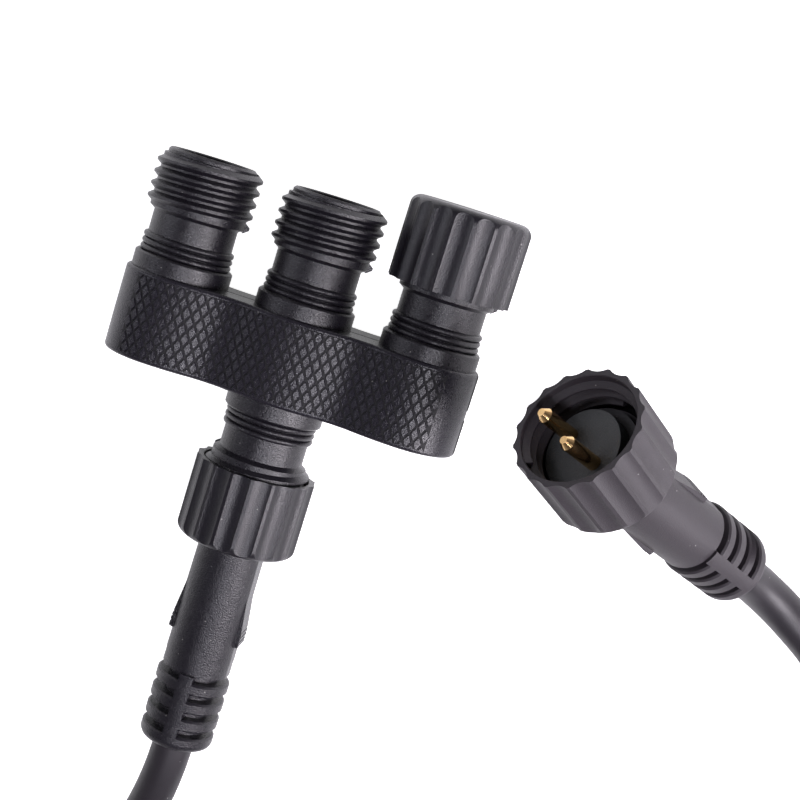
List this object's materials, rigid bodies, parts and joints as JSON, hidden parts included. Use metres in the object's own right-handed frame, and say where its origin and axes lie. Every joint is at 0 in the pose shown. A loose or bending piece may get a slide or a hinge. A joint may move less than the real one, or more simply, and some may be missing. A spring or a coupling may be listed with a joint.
{
  "type": "cable connector",
  "caption": "Waterproof splitter with threaded two-contact sockets in a row, a screw cap, and a link lead with a screwed plug at each end.",
  "frame": {"origin": "middle of the splitter's flat back", "axes": "+Z out of the front face, +Y towards the outlets, X along the row of outlets"},
  "size_m": [0.1539, 0.1835, 0.0492],
  "materials": {
    "housing_plastic": "fine grain with a pressed diamond pattern",
    "socket_plastic": "fine grain, smoother on the thread",
    "cap_plastic": "fine grain",
    "lead_plastic": "satin moulding",
    "free_plug_plastic": "satin moulding, warm grey",
    "carrier_plastic": "fine grain",
    "gold": "bright gold plate",
    "brass": "plain strip",
    "potting_resin": "cast resin",
    "seal_rubber": "matte",
    "core_copper": "insulated core",
    "cable_jacket": "satin jacket",
    "tie_plastic": "plain"
  },
  "bodies": {
    "splitter": {"body_front_shell": "housing_plastic", "body_rear_shell": "housing_plastic", "seam_gasket": "seal_rubber", "output_1_socket": "socket_plastic", "output_2_socket": "socket_plastic", "output_3_socket": "socket_plastic", "input_socket": "socket_plastic", "output_1_insulator": "carrier_plastic", "output_2_insulator": "carrier_plastic", "output_3_insulator": "carrier_plastic", "input_insulator": "carrier_plastic", "output_1_contacts": "gold", "output_2_contacts": "gold", "output_3_contacts": "gold", "input_contacts": "gold", "bus_rail_upper": "brass", "bus_rail_lower": "brass", "potting_fill": "potting_resin"},
    "cap_slider": {"dust_cap_seal": "seal_rubber"},
    "cap": {"dust_cap": "cap_plastic"},
    "lead": {"plug_a_body": "lead_plastic", "plug_a_insert": "carrier_plastic", "plug_a_pins": "gold", "plug_a_seal": "seal_rubber", "plug_a_cores": "core_copper", "plug_b_body": "free_plug_plastic", "plug_b_insert": "carrier_plastic", "plug_b_pins": "gold", "plug_b_seal": "seal_rubber", "plug_b_cores": "core_copper", "cable_run_a": "cable_jacket", "cable_coil": "cable_jacket", "cable_run_b": "cable_jacket", "coil_tie": "tie_plastic"},
    "lead_nut": {"plug_a_nut": "lead_plastic"},
    "free_nut": {"plug_b_nut": "free_plug_plastic"}
  },
  "joints": [
    {"name": "cap_travel", "type": "slide", "parent": "splitter", "child": "cap_slider", "axis": [0, 1, 0], "range_m": [0, 0.006]},
    {"name": "cap_turn", "type": "hinge", "parent": "cap_slider", "child": "cap", "pos_m": [0.0215, 0.0252, 0.0104], "axis": [0, 1, 0], "range_deg": [0, 1080]},
    {"name": "lead_travel", "type": "slide", "parent": "splitter", "child": "lead", "axis": [0, -1, 0], "range_m": [0, 0.006]},
    {"name": "lead_nut_turn", "type": "hinge", "parent": "lead", "child": "lead_nut", "pos_m": [0, -0.0252, 0.0104], "axis": [0, -1, 0], "range_deg": [0, 1080]},
    {"name": "free_nut_turn", "type": "hinge", "parent": "lead", "child": "free_nut", "pos_m": [0.05423, 0.0024, 0.03406], "axis": [-0.5816, 0.4828, 0.6547], "continuous": true}
  ],
  "couplings": [
    {"joint": "cap_turn", "follows": "cap_travel", "rad_per_m": 3141.6},
    {"joint": "lead_nut_turn", "follows": "lead_travel", "rad_per_m": 3141.6}
  ]
}
